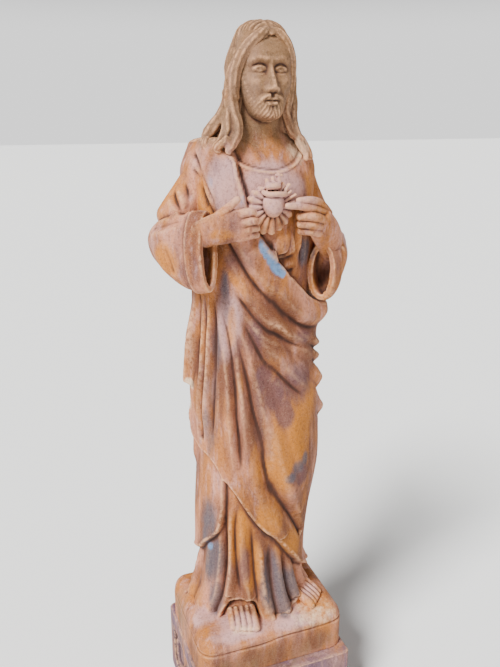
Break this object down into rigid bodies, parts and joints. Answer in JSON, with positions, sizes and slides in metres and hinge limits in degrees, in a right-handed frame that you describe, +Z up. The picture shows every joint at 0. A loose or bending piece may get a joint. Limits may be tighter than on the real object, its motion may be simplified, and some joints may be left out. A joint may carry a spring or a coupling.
{
  "type": "sacred heart statue",
  "caption": "Standing robed figure with long hair and beard, hands at a heart in rays on the breast, on its own rounded block over a low square plinth.",
  "frame": {"origin": "middle of the plinth's flat underside", "axes": "+Z up; the figure faces -Y; +X is the figure's left, the viewer's right"},
  "size_m": [0.3755, 0.271, 1.3762],
  "materials": {
    "cast_stone": "matte, weathered",
    "plinth_stone": "matte, weathered"
  },
  "bodies": {
    "root": {"statue": "cast_stone", "plinth": "plinth_stone"}
  },
  "joints": []
}
